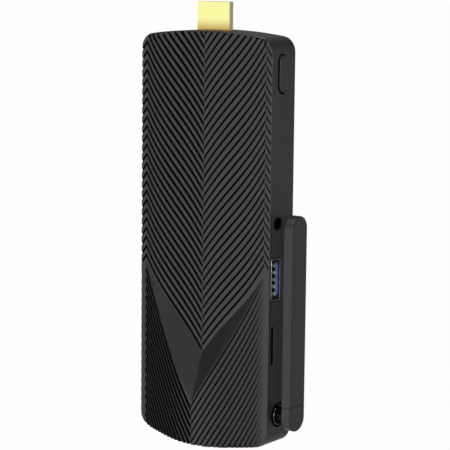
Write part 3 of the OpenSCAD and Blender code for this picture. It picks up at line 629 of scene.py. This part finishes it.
def closed(mesh, sharp_deg, weld=0.002 * MM):
    """Merge equal points, drop flat faces, fill open holes and turn all faces outward. Then shade it smooth,
    apart from edges sharper than sharp_deg."""
    shell = bmesh.new()
    shell.from_mesh(mesh)
    bmesh.ops.remove_doubles(shell, verts=shell.verts, dist=weld)
    bmesh.ops.dissolve_degenerate(shell, edges=shell.edges, dist=weld)
    bmesh.ops.holes_fill(shell, edges=[e for e in shell.edges if e.is_boundary], sides=0)
    bmesh.ops.recalc_face_normals(shell, faces=shell.faces)
    open_edges = sum(not e.is_manifold for e in shell.edges)
    shell.to_mesh(mesh)
    shell.free()
    mesh.shade_smooth()
    mesh.set_sharp_from_angle(angle=math.radians(sharp_deg))
    print("%s: %d faces, %d open edges" % (mesh.name, len(mesh.polygons), open_edges))


def placed(mesh, body, slot, *replaced):
    """Put a finished mesh into the scene: it rides on the body, has the slot's finish and replaces nodes."""
    piece = bpy.data.objects.new(mesh.name, mesh)
    bpy.context.scene.collection.objects.link(piece)
    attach(piece, body)
    for node in replaced:
        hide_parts(node)
    if not mesh.materials:
        mesh.materials.append(finish[slot])
    return piece


print("quads in a grid of 3 by 4 points:", len(grid_faces((3, 4), 0)))

# %% [markdown]
# The dark faces deep in the grooves also get a material of their own, with hardly any sheen: painted shade,
# since little light reaches them. The sheen of a material is kept one number all over, so it can't fade down
# with the dark value.

# %% The cover as one closed plate
# The dark values below are painted shade in the grooves.
FIELD_DARK, ROOF_DARK, DEEP_FROM = 0.9, 0.92, 0.3
inner = np.abs(across) < NOTCH + 1e-6
sides = [bottom[:, across < -NOTCH + 1e-6], bottom[:, across > NOTCH - 1e-6], bottom[:-1, inner]]
sheets = [upper, lower, facets] + strips + sides
darks = [FIELD_DARK * upper_dark, ROOF_DARK * lower_dark * shade_scale]
darks += [np.zeros(s.shape[:2]) for s in sheets[2:]]
cover_mesh = joined("ribbed_cover", sheets, darks)
closed(cover_mesh, 20)
cover_mesh.materials.append(finish["cover_abs"])
cover_mesh.materials.append(moulded_abs("painted groove shade on moulded ABS", "#2E2E2F", 0.8, 0.02))
face_dark = np.empty(len(cover_mesh.polygons), np.float32)
cover_mesh.attributes["dark"].data.foreach_get("value", face_dark)
cover_mesh.polygons.foreach_set("material_index", (face_dark > DEEP_FROM).astype(np.int32))
placed(cover_mesh, "case", "cover_abs", "front_cover")
print("faces deep in grooves:", int((face_dark > DEEP_FROM).sum()))

# %% [markdown]
# ## Softened housing and button
# A moulded edge is never quite sharp, because the mould is cut with round tools. The solids have plain edges.
# A live bevel would round every edge, also those that fit tightly, so a copy of each solid is merged, its
# flat triangles are joined, and only the picked edges are rounded. Walls in narrow gaps catch no light, so
# they get a near-black of their own, which is painted shade.

# %% Helpers: a copy with rounded edges, two materials on a mesh, even shading
def softened(name, node, rounds):
    """Copy of a solid: equal points merged, flat triangles joined, then each (radius, picked) in rounds puts
    a round of that radius in mm on the convex edges whose middle is picked."""
    shape = bmesh.new()
    shape.from_mesh(nodes[node].data)
    bmesh.ops.remove_doubles(shape, verts=shape.verts, dist=0.001 * MM)
    bmesh.ops.dissolve_limit(shape, angle_limit=math.radians(0.5), verts=shape.verts, edges=shape.edges)
    for radius, picked in rounds:
        shape.normal_update()
        chosen = [e for e in shape.edges if e.calc_face_angle_signed(0.0) > math.radians(30)
                  and picked((e.verts[0].co + e.verts[1].co) / 2 / MM)]
        bmesh.ops.bevel(shape, geom=chosen, offset=radius * MM, segments=3, profile=0.5, affect="EDGES",
                        clamp_overlap=True)
        print(name, "rounded edges:", len(chosen))
    mesh = bpy.data.meshes.new(name)
    shape.to_mesh(mesh)
    shape.free()
    mesh.shade_smooth()
    mesh.set_sharp_from_angle(angle=math.radians(25))
    return mesh


def two_finishes(mesh, first, second, chosen):
    """Give a mesh two materials: chosen(centre in mm, normal), both as arrays, says where the second
    goes."""
    centre, normal = np.empty(len(mesh.polygons) * 3), np.empty(len(mesh.polygons) * 3)
    mesh.polygons.foreach_get("center", centre)
    mesh.polygons.foreach_get("normal", normal)
    mesh.materials.clear()
    mesh.materials.append(first)
    mesh.materials.append(second)
    where = chosen(centre.reshape(-1, 3) / MM, normal.reshape(-1, 3))
    mesh.polygons.foreach_set("material_index", where.astype(np.int32))
    print("%s: second finish on %d of %d faces" % (mesh.name, where.sum(), len(where)))


def even_normals(piece):
    """Let large flat faces decide the shading next to a round, so that they stay evenly lit."""
    change = piece.modifiers.new("even normals", "WEIGHTED_NORMAL")
    change.weight, change.keep_sharp = 100, True


painted_gap_shade = moulded_abs("painted shade on moulded ABS in narrow gaps", "#0B0B0C", 0.7, 0.05)
print("black for gaps:", painted_gap_shade.name)

# %% Housing: a round back edge, and openings with soft edges and walls in painted black shade
BACK = cad_box[1][1] / MM
BACK_ROUND, OPENING_ROUND = 0.4, 0.15
GAP_DEEP, GAP_OUT, END_CLEAR, UNDER_BUTTON = 26.3, 28.2, 6, -24


def on_outline(p):
    """Whether a point lies on the outline of the case, within 0.1 mm."""
    top, low = end_curve(p.x, TOP_BOW, 0.0), END - end_curve(p.x, END_BOW, 0.0)
    return min(abs(abs(p.x) - HALF), abs(p.z - top), abs(p.z - low)) < 0.1


def on_side(y, z):
    """Whether a depth and a height belong to the side walls, clear of the seam, the back and both ends."""
    return (SEAM + 0.1 < y) & (y < BACK - 1) & (END + END_CLEAR < z) & (z < -END_CLEAR)


def gap_walls(c, n):
    """Walls of the side openings, for painted shade. In the button's opening, those facing the front stay
    plain.
    """
    deep = np.abs(c[:, 0])
    return ((deep > GAP_DEEP) & (deep < GAP_OUT) & (np.abs(n[:, 0]) < 0.3) & on_side(c[:, 1], c[:, 2])
            & ((c[:, 2] < UNDER_BUTTON) | (n[:, 1] > -0.5)))


housing_mesh = softened("soft_housing", "rear_housing", [
    (BACK_ROUND, lambda p: p.y > BACK - 0.01 and on_outline(p)),
    (OPENING_ROUND, lambda p: abs(abs(p.x) - HALF) < 0.01 and on_side(p.y, p.z))])
two_finishes(housing_mesh, finish["case_abs"], painted_gap_shade, gap_walls)
even_normals(placed(housing_mesh, "case", "case_abs", "rear_housing"))

# %% Button: a round front edge, and flanks in painted black shade
BUTTON_ROUND = 0.3
button_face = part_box("power_button")[1][0] / MM
button_mesh = softened("soft_button", "power_button", [(BUTTON_ROUND, lambda p: p.x > button_face - 0.01)])
# The button's flanks get the near-black: painted shade in the gap round the button.
two_finishes(button_mesh, finish["button_abs"], painted_gap_shade,
             lambda c, n: (np.abs(n[:, 0]) < 0.3) & (c[:, 0] < button_face - BUTTON_ROUND))
even_normals(placed(button_mesh, "button", "button_abs", "power_button"))

# %% [markdown]
# ## The antenna
# The antenna is a flat moulded bar in two pieces, a long blade and a round knuckle on the pivot, with a
# fine seam between them. Bevelling the solids would pinch at the rounded tip. A plate with a round edge
# is easier as a formula: walk along half the outline, and at each place carry the section of the edge, a
# quarter circle from one flat side to the rim and one from the rim to the other side.

# %% Half the outline of an antenna piece
TIP, ROUND, GROOVE = 4.5, 0.5, 0.14
(x_low, _, z_seam), (x_high, y_high, z_tip) = (np.array(corner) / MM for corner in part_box("antenna_paddle"))
z_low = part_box("antenna_knuckle")[0][2] / MM


def half_outline(end, radius, straight, way):
    """Half the outline (y, z) of an antenna piece and its outward normals: from the seam along the straight
    side, which stops a little before the arc, then a quarter circle of the radius to the end. way is 1 up,
    -1 down."""
    arc = np.linspace(0, math.pi / 2, 13)
    y = np.concatenate([np.full(3, y_high), y_high - radius + radius * np.cos(arc), [0]])
    z = np.concatenate([[z_seam, z_seam + way * GROOVE, end - way * (radius + straight)],
                        end - way * radius + way * radius * np.sin(arc), [end]])
    ny = np.concatenate([np.ones(3), np.cos(arc), [0]])
    nz = way * np.concatenate([np.zeros(3), np.sin(arc), [1]])
    return y, z, ny, nz


print("antenna %.1f by %.1f mm" % (2 * y_high, z_tip - z_low))

# %% Blade and knuckle as plates with round edges
def round_plate(name, y, z, ny, nz):
    """Mirror-image plate in mm: half outline (y, z) with outward normals (ny, nz). Along the edge section
    the outline moves in by ROUND * (1 - cos q) while x goes out by ROUND * sin q. At the seam all of it is
    drawn in by GROOVE."""
    q = np.linspace(0, math.pi / 2, 7)
    q = np.concatenate([q[::-1], q])
    side = np.repeat([-1.0, 1.0], 7)
    tight = np.where(np.arange(len(y)) == 0, GROOVE, 0.0)[:, None]
    mid, half = (x_low + x_high) / 2, (x_high - x_low) / 2
    x = side * (half - ROUND + ROUND * np.sin(q)) - side * tight
    inset = ROUND * (1 - np.cos(q)) + tight
    py, pz = y[:, None] - ny[:, None] * inset, z[:, None] - nz[:, None] * inset
    edges = [np.stack([mid + x, sign * py, pz], -1) for sign in (1, -1)]
    s = np.linspace(-1, 1, 5)
    flats = [np.stack([np.broadcast_to(mid + x[:, [k]], (len(y), 5)), py[:, [k]] * s,
                       np.broadcast_to(pz[:, [k]], (len(y), 5))], -1) for k in (0, -1)]
    mesh = joined(name, edges + flats)
    closed(mesh, 25)
    return mesh


blade = round_plate("antenna_blade", *half_outline(z_tip, TIP, 1.0, 1))
even_normals(placed(blade, "antenna", "antenna_abs", "antenna_paddle"))
knuckle = round_plate("antenna_round", *half_outline(z_low, y_high, 0.5, -1))
even_normals(placed(knuckle, "antenna", "antenna_abs", "antenna_knuckle"))

# %% [markdown]
# ## The plug
# The shell of the plug is folded from one gold-plated sheet. The broad faces reflect pale, and the narrow
# sides get one more material on a copy: a rougher, more matt gold whose tint is painted light, so that they
# look deeper. One more material on the sides of a
# copy gives that.

# %% Plug shell with a rougher gold and a painted tint on its narrow sides
plug_mesh = softened("plug_shell", "hdmi_shell", [])
two_finishes(plug_mesh, finish["gold_plate"], plated_metal("rougher gold-plated sheet with painted tint", "#FFEDBC", 0.34),
             lambda c, n: np.abs(n[:, 0]) > 0.7)
placed(plug_mesh, "case", "gold_plate", "hdmi_shell")

# %% [markdown]
# ## The bright ring on the pivot and the data socket
# The pivot is black, and only a narrow plated ring on it catches the light, so it shows as a crescent.
# The wide data socket has a thin bright rim, lips painted black as shade, a blue tongue that ends just behind
# the opening, with its front face painted black as shade, and gold fingers on the tongue's front. Rings and
# rims are a round wire carried along a closed path. The tongue and its fingers are rounded blocks, which a
# superellipsoid gives with one formula.

# %% Ring on the pivot: a wire along a closed path
RING_R, RING_OUT, RING_WIRE = 3.4, 0.4, 0.22


def wire_loop(name, y, z, out_y, out_z, x, radius):
    """Closed wire in mm: at each point (y, z) of a path, a circle spanned by its outward normal and by x."""
    a = np.linspace(0, 2 * math.pi, 13)
    wide = radius * np.cos(a)
    points = np.stack([x + np.broadcast_to(radius * np.sin(a), (len(y), 13)),
                       y[:, None] + out_y[:, None] * wide, z[:, None] + out_z[:, None] * wide], -1)
    mesh = joined(name, [points])
    closed(mesh, 180)
    return mesh


angle = np.linspace(0, 2 * math.pi, 49)
ring_y, ring_z = np.cos(angle), np.sin(angle)
ring = wire_loop("pivot_ring", RING_R * ring_y, z_low + y_high + RING_R * ring_z, ring_y, ring_z,
                 HALF + RING_OUT, RING_WIRE)
ring.materials.append(plated_metal("bright nickel ring", "#808185", 0.12, 0.04))
placed(ring, "antenna", "dark_chrome")

# %% Rim and lips of the data socket
DATA_Y, DATA_Z = -2.75, np.mean([corner[2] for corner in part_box("usb_shell")]) / MM
RIM_Y, RIM_Z, RIM_CORNER, RIM_WIRE, RIM_IN = 2.25, 6.8, 0.45, 0.14, 0.1
LIP = 0.55
quarter = np.linspace(0, math.pi / 2, 6)
turns = np.concatenate([quarter + k * math.pi / 2 for k in range(4)] + [[2 * math.pi]])
out_y, out_z = np.cos(turns), np.sin(turns)
corner_y = np.repeat([1, -1, -1, 1, 1], [6, 6, 6, 6, 1]) * RIM_Y
corner_z = np.repeat([1, 1, -1, -1, 1], [6, 6, 6, 6, 1]) * RIM_Z
rim_wire = wire_loop("data_socket_rim", DATA_Y + corner_y + RIM_CORNER * out_y,
                     DATA_Z + corner_z + RIM_CORNER * out_z, out_y, out_z, HALF - RIM_IN, RIM_WIRE)
placed(rim_wire, "case", "shell_steel")

shell_mesh = softened("data_socket_shell", "usb_shell", [])
# The last LIP mm of the steel shell, its mouth, gets black: painted shade.
two_finishes(shell_mesh, finish["shell_steel"], finish["black_lcp"], lambda c, n: c[:, 0] > HALF - LIP)
placed(shell_mesh, "case", "shell_steel", "usb_shell")

# %% Tongue and fingers of the data socket: rounded blocks
DEEP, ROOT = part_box("usb_tongue")[0][0] / MM, 3
TONGUE_END, FINGER_END = HALF - 0.35, HALF - 0.45
TONGUE_FRONT, TONGUE_BACK, TONGUE_Z = 0.15, 2.2, 6.1
ROOT_Y, ROOT_Z = 2.5, 6.2
FINGERS_Z = DATA_Z + np.array([-5.0, -2.5, 0.0, 2.5, 5.0])
FINGER_Y, FINGER_Z = 0.3, 0.7


def rounded_blocks(name, lows, highs, power):
    """Rounded blocks in mm between corner pairs: middle + half size * s(sin u, cos u cos v, cos u sin v),
    where s(t) = sign(t) * abs(t) ** power flattens a ball into a block."""
    u, v = np.meshgrid(np.linspace(-math.pi / 2, math.pi / 2, 17), np.linspace(0, 2 * math.pi, 33),
                       indexing="ij")
    ball = np.stack([np.sin(u), np.cos(u) * np.cos(v), np.cos(u) * np.sin(v)], -1)
    ball = np.where(np.abs(ball) < 1e-9, 0, ball)
    block = np.sign(ball) * np.abs(ball) ** power
    mesh = joined(name, [(a + b) / 2 + (b - a) / 2 * block
                         for a, b in zip(np.array(lows, float), np.array(highs, float))])
    closed(mesh, 180)
    return mesh


# The first block is the tongue, and the second is the root that it stands on.
lows = [[DEEP, DATA_Y + TONGUE_FRONT, DATA_Z - TONGUE_Z], [DEEP, DATA_Y - ROOT_Y, DATA_Z - ROOT_Z]]
highs = [[TONGUE_END, DATA_Y + TONGUE_BACK, DATA_Z + TONGUE_Z],
         [DEEP + ROOT, DATA_Y + ROOT_Y, DATA_Z + ROOT_Z]]
tongue = rounded_blocks("data_tongue", lows, highs, 0.15)
# The tongue's front face gets black: painted shade, where the blue tongue lies in shadow inside the socket.
two_finishes(tongue, finish["blue_lcp"], finish["black_lcp"], lambda c, n: n[:, 1] < -0.6)
placed(tongue, "case", "blue_lcp", "usb_tongue")
fingers = rounded_blocks("data_fingers", [[DEEP + ROOT, DATA_Y - FINGER_Y, z - FINGER_Z] for z in FINGERS_Z],
                         [[FINGER_END, DATA_Y + FINGER_Y, z + FINGER_Z] for z in FINGERS_Z], 0.35)
# The fingers' gold is rougher than the contact gold, and its tint is lightened as painted light, since little
# light reaches them inside the socket.
fingers.materials.append(plated_metal("rough gold contacts, lightened as painted light", "#FFE9A8", 0.5))
placed(fingers, "case", "contact_gold", "usb_contacts")
